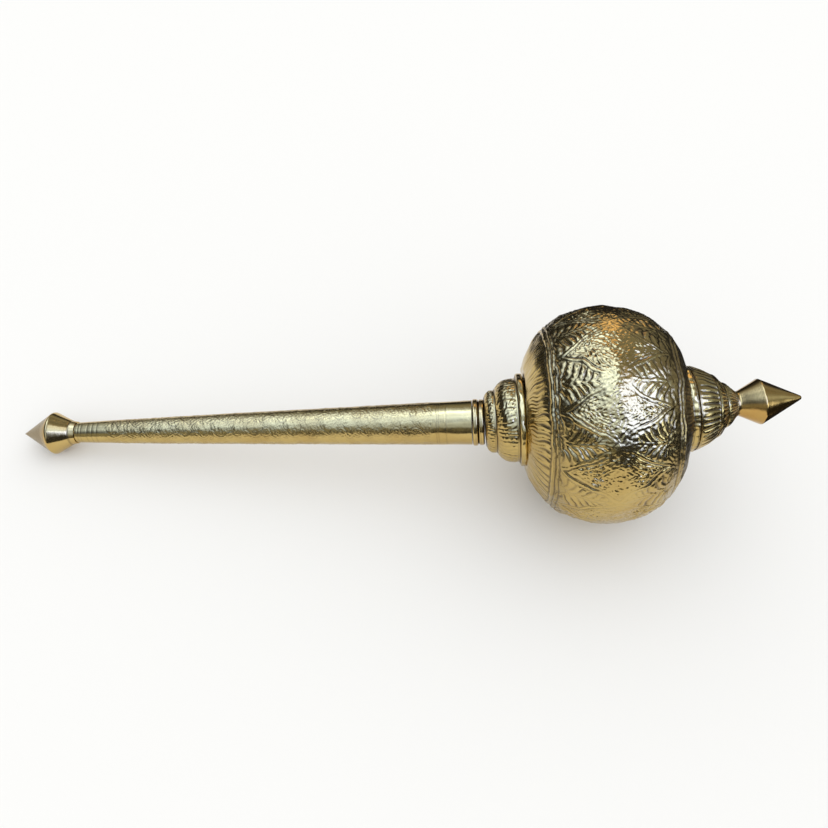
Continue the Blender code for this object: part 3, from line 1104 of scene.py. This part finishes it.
@dataclass
class GlobeBelt(Globe):
    """Half of the globe's middle: the ends of eleven bordered diamonds, and the palmettes between them.

    Attributes:
        seam: the station where the two halves meet.
        diamonds: how many diamonds go round the globe.
        turn: the angle of the first one's middle, in degrees.
        diamond_length: how long each is, in millimetres.
        slant: how much longer the way over the skin is than along the line.
        worn: the station about which the carving is nearly polished away.
        wear: how much of it is lost there.
        wear_width: how far from there it is lost.
        leaf_pitch: how far apart a palmette's leaflets are.
        leaf_slant: how steeply they leave the rib, as the way forward for each step aside.
        leaf_bend: how far they bend towards the palmette's tip, at the least and at the most.
        leaf_reach: how far aside they have come to their full bend.
        fan: the angle between the petals that radiate from the palmette's base, in degrees.
        heart: the reach of the plain heart that they start from.
        stroke: the length and the width of the chisel strokes in the diamonds.
        ring_dirt_and_shade: how dark the skin is painted beside the double ring, from 0 to 1, partly for dirt
            and partly as painted shade for the dark sides that it mirrors there.
        skin: how much chisel marks cover the skin between the fields.
    """

    sides: int = 1080
    rows: int = 91
    seam: float = 87.2
    diamonds: int = 11
    turn: float = -13.6
    diamond_length: float = 78.0
    slant: float = 1.1
    worn: float = 90.0
    wear: float = 0.8
    wear_width: float = 12.0
    leaf_pitch: float = 5.6
    leaf_slant: float = 0.75
    leaf_bend: tuple[float, float] = (6.0, 9.5)
    leaf_reach: float = 14.0
    fan: float = 21.0
    heart: float = 4.6
    stroke: tuple[float, float] = (4.0, 1.35)
    ring_dirt_and_shade: float = 0.3
    skin: float = 0.6

    def outline(self) -> Outline:
        """Return the globe from the ring to the seam."""
        return self.stretch(self.ring(), self.seam, self.rows)

    def carve(self, places: Places, carving: Carving) -> None:
        """Carve the ring, the borders, the palmettes and the fields of the diamonds."""
        drift = places.uneven(0.8, 24.0, 31) + places.uneven(0.3, 7.0, 37)
        hand = places.moved(drift, places.uneven(0.9, 21.0, 32))
        turns = (hand.angle / math.tau - self.turn / 360.0) * self.diamonds
        pitch = math.tau * places.radius / self.diamonds
        length = self.diamond_length / 2 * self.slant
        base = length - np.abs(hand.station - self.seam) * self.slant
        aside = np.abs(centred(turns)) * pitch
        steep = np.hypot(length, pitch / 2)
        inside = (base * pitch / 2 - aside * length) / steep
        run = (base * length + aside * pitch / 2) / steep
        left = 1.0 - self.wear * band(places.station - self.worn, self.wear_width)
        left *= 0.8 + 0.2 * np.clip(places.uneven(1.0, 15.0, 36), -1.0, 1.0)
        triangle = ramp(inside, -0.9, -1.5) * ramp(base, -1.2, 0.0) * left
        border = (1.0 - base / length) * pitch / 2
        self.cut_palmettes(base, pitch / 2 - aside, border, triangle, np.floor(turns), carving)
        self.cut_fields(run, inside, turns, left, carving)
        self.cut_borders(inside, np.round(turns), left, carving)
        self.cut_ring(places, carving)
        # Darkened beside the double ring: partly dirt, partly painted shade for the dark reflections there.
        carving.cut(ramp(base, 14.0, 0.0), depth=0.0, dark=self.ring_dirt_and_shade)
        carving.ruffle(self.dents.at(places.points) + places.uneven(0.06, 3.0, 33))
        carving.chase(np.full(len(base), self.skin))

    def cut_borders(self, inside: Values, diamond: Values, left: Values, carving: Carving) -> None:
        """Raise each diamond's border between a thin cut and a deep one, and on some a second line inside.

        Args:
            inside: how far inside its diamond's outline each point is, in millimetres.
            diamond: the number of the diamond.
            left: the share of the carving that wear has left.
            carving: what is carved.
        """
        carving.lift(band(inside - 0.7, 1.0) * left, height=0.3)
        carving.score(inside + 0.8, width=0.38, depth=0.3, dark=0.6, share=left)
        carving.score(inside - 2.4, width=0.5, depth=0.45, dark=0.95, share=left)
        double = np.random.default_rng(34).uniform(size=self.diamonds) > 0.5
        second = left * double[diamond.astype(int) % self.diamonds]
        carving.lift(band(inside - 3.5, 0.6) * second, height=0.16)
        carving.score(inside - 4.6, width=0.38, depth=0.2, dark=0.5, share=second)

    def cut_palmettes(self, base: Values, aside: Values, border: Values, triangle: Values,
                      palmette: Values, carving: Carving) -> None:
        """Carve the leaf of each triangle: petals that radiate from its base, a rib, and leaflets along it.

        Args:
            base: how far each point is from the triangle's base, in millimetres.
            aside: how far it is from the rib.
            border: how far aside the triangle's border is there.
            triangle: 1 in a triangle and 0 outside.
            palmette: the number of the palmette.
            carving: what is carved.
        """
        random = np.random.default_rng(35)
        which = palmette.astype(int) % self.diamonds
        bends = random.uniform(*self.leaf_bend, self.diamonds)[which]
        bend = bends * (1.0 - (1.0 - np.minimum(aside / self.leaf_reach, 1.0)) ** 2)
        level = base - bend + self.leaf_slant * aside
        reach = np.hypot(level, aside)
        start = level - self.leaf_slant * aside
        turn = np.degrees(np.arctan2(aside, level) - math.atan(1.0 / self.leaf_slant))
        number = np.where(start > 0.0, start / self.leaf_pitch, -turn / self.fan)
        wide = np.where(start > 0.0, self.leaf_pitch * 0.8, np.radians(self.fan) * reach)
        forces = random.uniform(0.55, 1.0, (self.diamonds, 32))
        force = forces[which, np.floor(number).astype(int) % 32]
        distance = np.abs(centred(number)) * wide
        leaf = triangle * ramp(reach, self.heart, self.heart + 1.2)
        gap = ramp(aside, 0.8, 6.0)
        carving.score(distance, 0.4 + 0.45 * gap, depth=0.6, dark=0.75, share=leaf * (0.4 + 0.6 * gap))
        petal = 1.0 - (1.0 - np.clip(2.0 * np.abs(centred(number)), 0.0, 1.0)) ** 2
        carving.lift(petal * leaf * force * ramp(border - aside, 1.4, 3.2), height=0.5)
        carving.score(np.hypot(distance, aside - border + 2.4), 0.9, depth=0.5, dark=0.75, share=triangle)
        rib = leaf * ramp(base, 4.0, 7.0)
        carving.lift(band(aside, 0.7) * rib, height=0.4)
        carving.score(aside - 1.3, width=0.35, depth=0.25, dark=0.4, share=rib)
        carving.score(reach - self.heart, width=0.6, depth=0.4, dark=0.7, share=triangle)
        carving.lift(bell(reach, 0.6 * self.heart) * triangle, height=0.4)

    def cut_fields(self, run: Values, inside: Values, turns: Values, left: Values,
                   carving: Carving) -> None:
        """Chase the diamonds' fields all over with short strokes that lie along the nearest border.

        Args:
            run: how far each point is along that border, in millimetres.
            inside: how far it is from the border.
            turns: the number of the diamond, and how far across it the point is.
            left: the share of the carving that wear has left.
            carving: what is carved.
        """
        area = ramp(inside, 3.0, 4.5) * ramp(run, 7.0, 13.0) * (0.35 + 0.65 * left)
        quarter = 9.7 * np.round(turns) + 2.3 * np.sign(centred(turns)) + 4.1 * self.end.value
        strokes = np.stack([run / self.stroke[0], inside / self.stroke[1], quarter], axis=1)
        rough = Unevenness(1.0, 1.0, 41).at(strokes)
        carving.cut(ramp(rough, 0.6, 1.8) * area, depth=0.25, dark=0.35)
        carving.ruffle(-0.16 * rough * area)
        carving.chase(area)


@dataclass
class Cap(Fluted):
    """The ring and the three fluted steps over the globe."""

    name: str = "cap_piece"
    node: str = "cap"
    flutes: int = 39
    flute_depth: float = 0.9
    faintest: float = 0.7
    wander: float = 0.2
    dirt: float = 1.0
    skin: float = 0.03
    start: float = 145.0
    ring_end: float = 153.4
    ring_radii: tuple[float, float] = (31.6, 32.4)
    groove: float = 0.6
    steps: tuple[tuple[float, float, float, float], ...] = (
        (154.2, 170.2, 32.0, 24.6),
        (170.7, 177.6, 24.2, 17.9),
        (178.1, 187.6, 17.6, 10.3),
    )
    power: float = 1.5

    def outline(self) -> Outline:
        """Return the ring and the three steps."""
        ring = rounded([
            (self.start, self.ring_radii[0]),
            (self.ring_end - 0.6, self.ring_radii[1]),
            (self.ring_end, self.ring_radii[1] - 0.5),
            (self.ring_end + self.groove, self.ring_radii[1] - 2.2 * self.groove),
        ], 0.5)
        skin = list(ring)
        for start, end, wide, narrow in self.steps:
            skin += [(start - 0.15, wide - 0.9), (start, wide - 0.25)]
            skin += swell(start + 0.3, end, wide, narrow, self.power, 16)
        return filled(skin, 0.8)

    def carve(self, places: Places, carving: Carving) -> None:
        """Cut the flutes of each step, and leave dirt where the steps meet."""
        for start, end, *_ in self.steps:
            narrowing = places.past(start, end)
            area = places.past(start + 1.0, start + 3.0) * places.past(end + 0.2, end - 0.8)
            self.cut_flutes(places, carving, area * (0.7 + 0.3 * narrowing), 0.6 + 0.45 * narrowing)
            carving.ring(start - 0.3, width=0.45, depth=0.0, dark=0.9)
            carving.ring(start + 1.1, width=0.3, depth=0.1, dark=0.4)
        length = self.ring_end - self.start
        for share, width in ((0.1, 0.3), (0.5, 0.4), (0.92, 0.3)):
            carving.ring(self.start + share * length, width, depth=0.25, dark=0.8)
        carving.ring(self.start, width=0.8, depth=0.0, dark=1.0)
        carving.ruffle(places.uneven(0.16, 4.5, 55) * places.past(self.ring_end + 1.0, self.ring_end))


@dataclass
class Finial(Turned):
    """Two cones back to back on a short neck."""

    name: str = "finial_piece"
    node: str = "finial"
    sides: int = 144
    start: float = 187.9
    neck: float = 189.6
    neck_radius: float = 9.3
    rim: float = 205.5
    radius: float = 17.4
    rounding: float = 0.7
    tip: float = 236.8
    tip_radius: float = 1.4

    def outline(self) -> Outline:
        """Return the neck and the two cones."""
        corners = [
            (self.start, self.neck_radius + 0.2),
            (self.neck, self.neck_radius),
            (self.rim, self.radius),
            (self.tip - self.tip_radius / 2, self.tip_radius),
            (self.tip, 0.0),
        ]
        return filled(rounded(corners, self.rounding), 1.0)

    def carve(self, places: Places, carving: Carving) -> None:
        """Darken the first cone a little, as a painted reflection of the shaded floor and the cap that it
        mirrors, and leave dirt in the neck.
        """
        # Painted reflection: the whole first cone is darkened a little, for the shaded floor and the brass
        # cap that it mirrors.
        carving.cut(places.past(self.rim + 0.4, self.rim - 0.4), depth=0.0, dark=0.15)
        carving.ring(self.start, width=0.8, depth=0.0, dark=0.8)


@dataclass
class Lie:
    """How the mace lies: its line is bent a little at the neck and at the crown, as on handmade work.

    Attributes:
        handle_heading: the handle's turn about +Z, in degrees.
        head_heading: the cup's.
        globe_heading: the globe's.
        crown_heading: the cap's and the finial's.
        globe_lift: how much more the globe rises than the handle, in degrees.
        crown_lift: how much more the cap and the finial rise.
        globe_flat: how deep the flat under the globe is, in millimetres.
        pommel_flat: how deep the flat under the pommel is.
    """

    handle_heading: float = -1.3
    head_heading: float = 1.6
    globe_heading: float = 0.4
    crown_heading: float = 3.0
    globe_lift: float = -0.8
    crown_lift: float = 1.2
    globe_flat: float = 0.6
    pommel_flat: float = 0.8

    @staticmethod
    def lowest(outline: Outline, lean: float) -> tuple[float, float]:
        """Return (along, drop) of the lowest point of a turned outline whose line rises by lean."""
        places = [(station * math.cos(lean) + radius * math.sin(lean),
                   station * math.sin(lean) - radius * math.cos(lean)) for station, radius in outline]
        return min(places, key=lambda place: place[1])

    def lines(self) -> dict[str, Line]:
        """Return the stretches of the line, named for what is threaded on them."""
        level = Line(Vector(), 0.0, 0.0)
        form = Globe(level, CHASED)
        skin = form.stretch(form.start, form.stop, 400)
        globe = [(station - form.centre, radius) for station, radius in skin]
        pommel = Pommel(level, POLISHED).outline()
        lift = math.radians(self.globe_lift)
        low, high = 0.0, math.radians(20.0)
        for _ in range(40):
            lean = (low + high) / 2
            over_globe = -self.lowest(globe, lean + lift)[1] - self.globe_flat - form.centre * math.sin(lean)
            over_pommel = -self.lowest(pommel, lean)[1] - self.pommel_flat
            if over_pommel > over_globe:
                high = lean
            else:
                low = lean
        along, drop = self.lowest(globe, lean + lift)
        heading = math.radians(self.globe_heading)
        centre = Matrix.Rotation(heading, 3, "Z") @ Vector((-along, 0.0, -drop - self.globe_flat)) * MM
        head = Line(Vector(), math.radians(self.head_heading), lean)
        neck = centre - form.centre * MM * head.direction()
        globe_line = Line(Vector(), heading, lean + lift)
        crown = Line(Vector(), math.radians(self.crown_heading), lean + math.radians(self.crown_lift))
        crown_start = neck + form.stop * MM * (head.direction() - crown.direction())
        return {
            "handle": Line(neck, math.radians(self.handle_heading), lean),
            "head": Line(neck, head.heading, lean),
            "globe": Line(centre - form.centre * MM * globe_line.direction(), heading, globe_line.lean),
            "crown": Line(crown_start, crown.heading, crown.lean),
        }


@dataclass(frozen=True)
class Glow:
    """A soft patch of light in the room that the brass mirrors.

    Attributes:
        azimuth: where its middle is, in degrees, from 0 beyond the mace to 90 at the finial's end.
        elevation: how high its middle is, in degrees.
        reach: how far it reaches sideways, and up and down, in degrees.
        core: the share of its reach where it is at its brightest.
        colour: how bright it is there, as linear red, green and blue.
    """

    azimuth: float
    elevation: float
    reach: tuple[float, float]
    core: float
    colour: Colour

    def add_to(self, graph: Graph, room: object, azimuth: object, elevation: object) -> bpy.types.NodeSocket:
        """Add its light to what the room already has.

        Args:
            graph: the room's nodes.
            room: the light so far.
            azimuth: the azimuth looked at, in radians.
            elevation: the elevation looked at, in radians.

        Returns:
            The sum.
        """
        aside = graph.work_out("SUBTRACT", azimuth, math.radians(self.azimuth))
        aside = graph.work_out("WRAP", aside, math.pi, -math.pi)
        aside = graph.work_out("DIVIDE", aside, math.radians(self.reach[0]))
        above = graph.work_out("SUBTRACT", elevation, math.radians(self.elevation))
        above = graph.work_out("DIVIDE", above, math.radians(self.reach[1]))
        off = graph.vector("LENGTH", graph.add("CombineXYZ", X=aside, Y=above).outputs[0])
        return graph.vector("MULTIPLY_ADD", self.colour, graph.step(off, 1.0, self.core), room)


@dataclass(frozen=True)
class Skylight:
    """A soft oval of light overhead, seen on a flat map of the sky with the zenith in its middle.

    Attributes:
        centre: its middle on that map, towards +X and +Y, where the horizon is 1 from the zenith.
        reach: how far it reaches along X and Y.
        core: the share of its reach where it is at its brightest.
        colour: how bright it is there, as linear red, green and blue.
    """

    centre: tuple[float, float] = (-0.36, 0.05)
    reach: tuple[float, float] = (0.45, 0.95)
    core: float = 0.35
    colour: Colour = (1.08, 1.56, 3.15)

    def add_to(self, graph: Graph, room: object, direction: object, height: object) -> bpy.types.NodeSocket:
        """Add its light to what the room already has.

        Args:
            graph: the room's nodes.
            room: the light so far.
            direction: the direction looked at.
            height: the Z of that direction.

        Returns:
            The sum.
        """
        scale = (1.0 / self.reach[0], 1.0 / self.reach[1], 0.0)
        away = graph.vector("SUBTRACT", direction, (*self.centre, 0.0))
        off = graph.vector("LENGTH", graph.vector("MULTIPLY", away, scale))
        share = graph.work_out("MULTIPLY", graph.step(off, 1.0, self.core), graph.step(height, 0.0, 0.3))
        return graph.vector("MULTIPLY_ADD", self.colour, share, room)


@dataclass(frozen=True)
class Lamp:
    """A flat, even light at a real distance, which only the brass sees.

    Attributes:
        name: the lamp's name.
        place: where its middle is, in metres.
        size: its width and height, in metres.
        colour: how bright it is, as linear red, green and blue.
    """

    name: str
    place: tuple[float, float, float]
    size: tuple[float, float]
    colour: Colour

    def hang(self, target: Vector) -> None:
        """Hang the lamp so that it faces the target.

        Args:
            target: the point that it faces.
        """
        light = bpy.data.lights.new(self.name, "AREA")
        light.shape = "RECTANGLE"
        light.size, light.size_y = self.size
        light.energy = math.pi * self.size[0] * self.size[1] * max(self.colour)
        light.color = [value / max(self.colour) for value in self.colour]
        lamp = put_in_scene(self.name, light)
        lamp.location = self.place
        lamp.rotation_euler = (lamp.location - target).to_track_quat("Z", "Y").to_euler()
        lamp.visible_camera = False
        lamp.visible_diffuse = False


@dataclass
class Studio:
    """The pale floor, the soft light, the room that the brass mirrors, and the camera.

    Attributes:
        aim: the point in the middle of the picture, in metres.
        azimuth: how far the camera stands to the right of the mace's front, in degrees.
        elevation: how far above the floor it looks down from, in degrees.
        roll: how far it is tilted, in degrees.
        distance: how far it is from the aim, in metres.
        lens: its focal length, in millimetres on a 36 mm frame.
        floor_size: the length and width of the floor, in metres.
        floor_tone: how pale the floor is, from 0 to 1.
        flag_openings: the lowest and highest (x, y) of the black flag's openings, which overlap, in metres.
        flag_height: how far above the floor the flag lies.
        daylight: the even light that falls on the floor.
        dim: the room's light near the horizon and before the mace.
        pale: its light above and behind the mace.
        glows: the brighter patches of the room.
        skylight: the broad light overhead.
        window: the tall window to the right, which is the brightest light.
        panel: the ceiling light over the neck.
        lantern: the warm light behind the globe.
    """

    aim: Vector = field(default_factory=lambda: Vector((-0.1472, 0.0072, 0.0614)))
    azimuth: float = 3.15
    elevation: float = 52.77
    roll: float = 5.17
    distance: float = 0.6246
    lens: float = 34.78
    floor_size: float = 12.0
    floor_tone: float = 0.84
    flag_openings: tuple[tuple[float, float, float, float], ...] = (
        (-0.95, -1.2, 0.16, 0.24),
        (0.1, -1.2, 0.34, -0.1),
        (-0.95, 0.2, -0.58, 0.65),
    )
    flag_height: float = 0.004
    daylight: Colour = (1.18, 1.18, 1.16)
    dim: Colour = (0.05, 0.055, 0.065)
    pale: Colour = (0.3, 0.32, 0.34)
    glows: tuple[Glow, ...] = (
        Glow(128.0, 56.0, (50.0, 30.0), 0.3, (0.32, 0.45, 0.95)),
        Glow(-172.0, 44.0, (24.0, 22.0), 0.4, (0.75, 1.0, 1.7)),
        Glow(-150.0, 16.0, (30.0, 21.0), 0.3, (0.33, 0.34, 0.3)),
        Glow(-34.0, 63.0, (26.0, 15.0), 0.2, (1.35, 1.85, 3.2)),
        Glow(90.0, 72.0, (60.0, 18.0), 0.2, (0.35, 0.3, 0.25)),
        Glow(95.0, 32.0, (30.0, 18.0), 0.2, (0.36, 0.5, 0.75)),
        Glow(118.0, 20.0, (17.0, 13.0), 0.4, (2.3, 2.8, 3.8)),
        Glow(75.0, 10.0, (38.0, 11.0), 0.4, (0.28, 0.3, 0.28)),
    )
    skylight: Skylight = Skylight()
    window: Lamp = Lamp("window", (0.62, -0.6, 1.22), (1.1, 0.85), (1.75, 2.5, 6.9))
    panel: Lamp = Lamp("panel", (-0.16, -0.2, 1.05), (0.32, 0.75), (0.85, 1.2, 2.25))
    lantern: Lamp = Lamp("lantern", (0.08, 0.99, 0.74), (0.42, 0.34), (1.35, 0.92, 0.52))

    def build(self) -> None:
        """Set up everything but the mace."""
        self.lay_floor()
        self.lay_flag()
        self.light_room()
        self.window.hang(Vector())
        self.panel.hang(Vector(self.panel.place) * Vector((1.0, 1.0, 0.0)))
        self.lantern.hang(Vector())
        self.place_camera()

    def sheet(self) -> bmesh.types.BMesh:
        """Return a flat square of the floor's size."""
        work = bmesh.new()
        bmesh.ops.create_grid(work, x_segments=1, y_segments=1, size=self.floor_size / 2)
        return work

    def lay(self, work: bmesh.types.BMesh, name: str, tone: float) -> bpy.types.Object:
        """Lay a flat piece of the studio.

        Args:
            work: its mesh, which is used up.
            name: its name.
            tone: how pale it is, from 0 to 1.

        Returns:
            The piece.
        """
        mesh = bpy.data.meshes.new(name)
        work.to_mesh(mesh)
        work.free()
        material = bpy.data.materials.new(name)
        material.use_nodes = True
        shader = material.node_tree.nodes["Principled BSDF"]
        shader.inputs["Base Color"].default_value = (tone, tone, tone, 1.0)
        shader.inputs["Roughness"].default_value = 0.9
        shader.inputs["Specular IOR Level"].default_value = 0.0
        mesh.materials.append(material)
        piece = put_in_scene(name, mesh)
        return piece

    def lay_floor(self) -> None:
        """Lay a plain pale floor."""
        self.lay(self.sheet(), "floor", self.floor_tone)

    def lay_flag(self) -> None:
        """Lay a black flag round the mace, which only the brass sees, so that its rim stays dark."""
        work = self.sheet()
        for left, front, right, back in self.flag_openings:
            cuts = [((x, 0, 0), (1, 0, 0)) for x in (left, right)]
            cuts += [((0, y, 0), (0, 1, 0)) for y in (front, back)]
            for place, normal in cuts:
                parts = work.verts[:] + work.edges[:] + work.faces[:]
                bmesh.ops.bisect_plane(work, geom=parts, plane_co=place, plane_no=normal)
            opening = []
            for face in work.faces:
                x, y, _ = face.calc_center_median()
                if left < x < right and front < y < back:
                    opening.append(face)
            bmesh.ops.delete(work, geom=opening, context="FACES")
        bmesh.ops.translate(work, verts=work.verts[:], vec=(0, 0, self.flag_height))
        flag = self.lay(work, "flag", 0.02)
        flag.visible_camera = False
        flag.visible_diffuse = False
        flag.visible_shadow = False

    def light_room(self) -> None:
        """Light the floor evenly from all round, and give the brass a dim room with soft lights to mirror."""
        world = bpy.data.worlds.new("room")
        world.use_nodes = True
        world.cycles.sampling_method = "NONE"
        graph = Graph(world.node_tree)
        direction = graph.add("TexCoord").outputs["Generated"]
        split = graph.add("SeparateXYZ", Vector=direction).outputs
        azimuth = graph.work_out("ARCTAN2", split["X"], split["Y"])
        elevation = graph.work_out("ARCSINE", split["Z"])
        above, beyond = graph.step(split["Z"], 0.05, 0.4), graph.step(split["Y"], -0.5, 0.5)
        behind = graph.work_out("MULTIPLY", graph.work_out("MULTIPLY", above, beyond),
                                graph.step(split["X"], -0.75, -0.45))
        room = graph.mix(behind, (*self.dim, 1.0), (*self.pale, 1.0))
        for glow in self.glows:
            room = glow.add_to(graph, room, azimuth, elevation)
        room = self.skylight.add_to(graph, room, direction, split["Z"])
        mottle = graph.add("TexNoise", Vector=direction, Scale=3.5, Detail=3.0).outputs["Fac"]
        levels = {"From_Min": 0.3, "From_Max": 0.7, "To_Min": 0.6, "To_Max": 1.4}
        mottle = graph.add("MapRange", Value=mottle, **levels).outputs[0]
        room = graph.vector("SCALE", room)
        graph.feed(room.node.inputs["Scale"], mottle)
        mirrored = graph.add("LightPath").outputs["Is Glossy Ray"]
        light = graph.mix(mirrored, (*self.daylight, 1.0), room)
        graph.feed(graph.tree.nodes["Background"].inputs["Color"], light)
        bpy.context.scene.world = world

    def place_camera(self) -> None:
        """Place the camera."""
        turn = Matrix.Rotation(math.radians(-self.azimuth), 3, "Z")
        tilt = Matrix.Rotation(math.radians(90.0 - self.elevation), 3, "X")
        roll = Matrix.Rotation(math.radians(self.roll), 3, "Z")
        rotation = turn @ tilt @ roll
        data = bpy.data.cameras.new("camera")
        data.sensor_width = 36.0
        data.lens = self.lens
        camera = put_in_scene("camera", data)
        camera.rotation_euler = rotation.to_euler()
        camera.location = self.aim + rotation @ Vector((0.0, 0.0, self.distance))
        bpy.context.scene.camera = camera
        bpy.context.scene.view_settings.view_transform = "Standard"


def main() -> None:
    """Build the studio and the mace, piece by piece."""
    logging.basicConfig(level=logging.INFO, format="%(name)s: %(message)s")
    Studio().build()
    lines = Lie().lines()
    pieces = (
        Pommel(lines["handle"], POLISHED),
        Handle(lines["handle"], CHASED),
        Collar(lines["handle"], POLISHED),
        Cup(lines["head"], CHASED),
        GlobeDome(lines["globe"], CHASED, name="globe_foot"),
        GlobeBelt(lines["globe"], CHASED, name="globe_belt_foot"),
        GlobeBelt(lines["globe"], CHASED, name="globe_belt_crown", end=End.CROWN),
        GlobeDome(lines["globe"], CHASED, name="globe_crown", end=End.CROWN, edge=144.6, rows=30,
                  reach=(18.0, 34.0), seed=27, painted_ring_shade=0.6),
        Cap(lines["crown"], CHASED),
        Finial(lines["crown"], WARM_REFLECTION_BRASS),
    )
    for piece in pieces:
        piece.build()


if __name__ == "__main__":
    main()
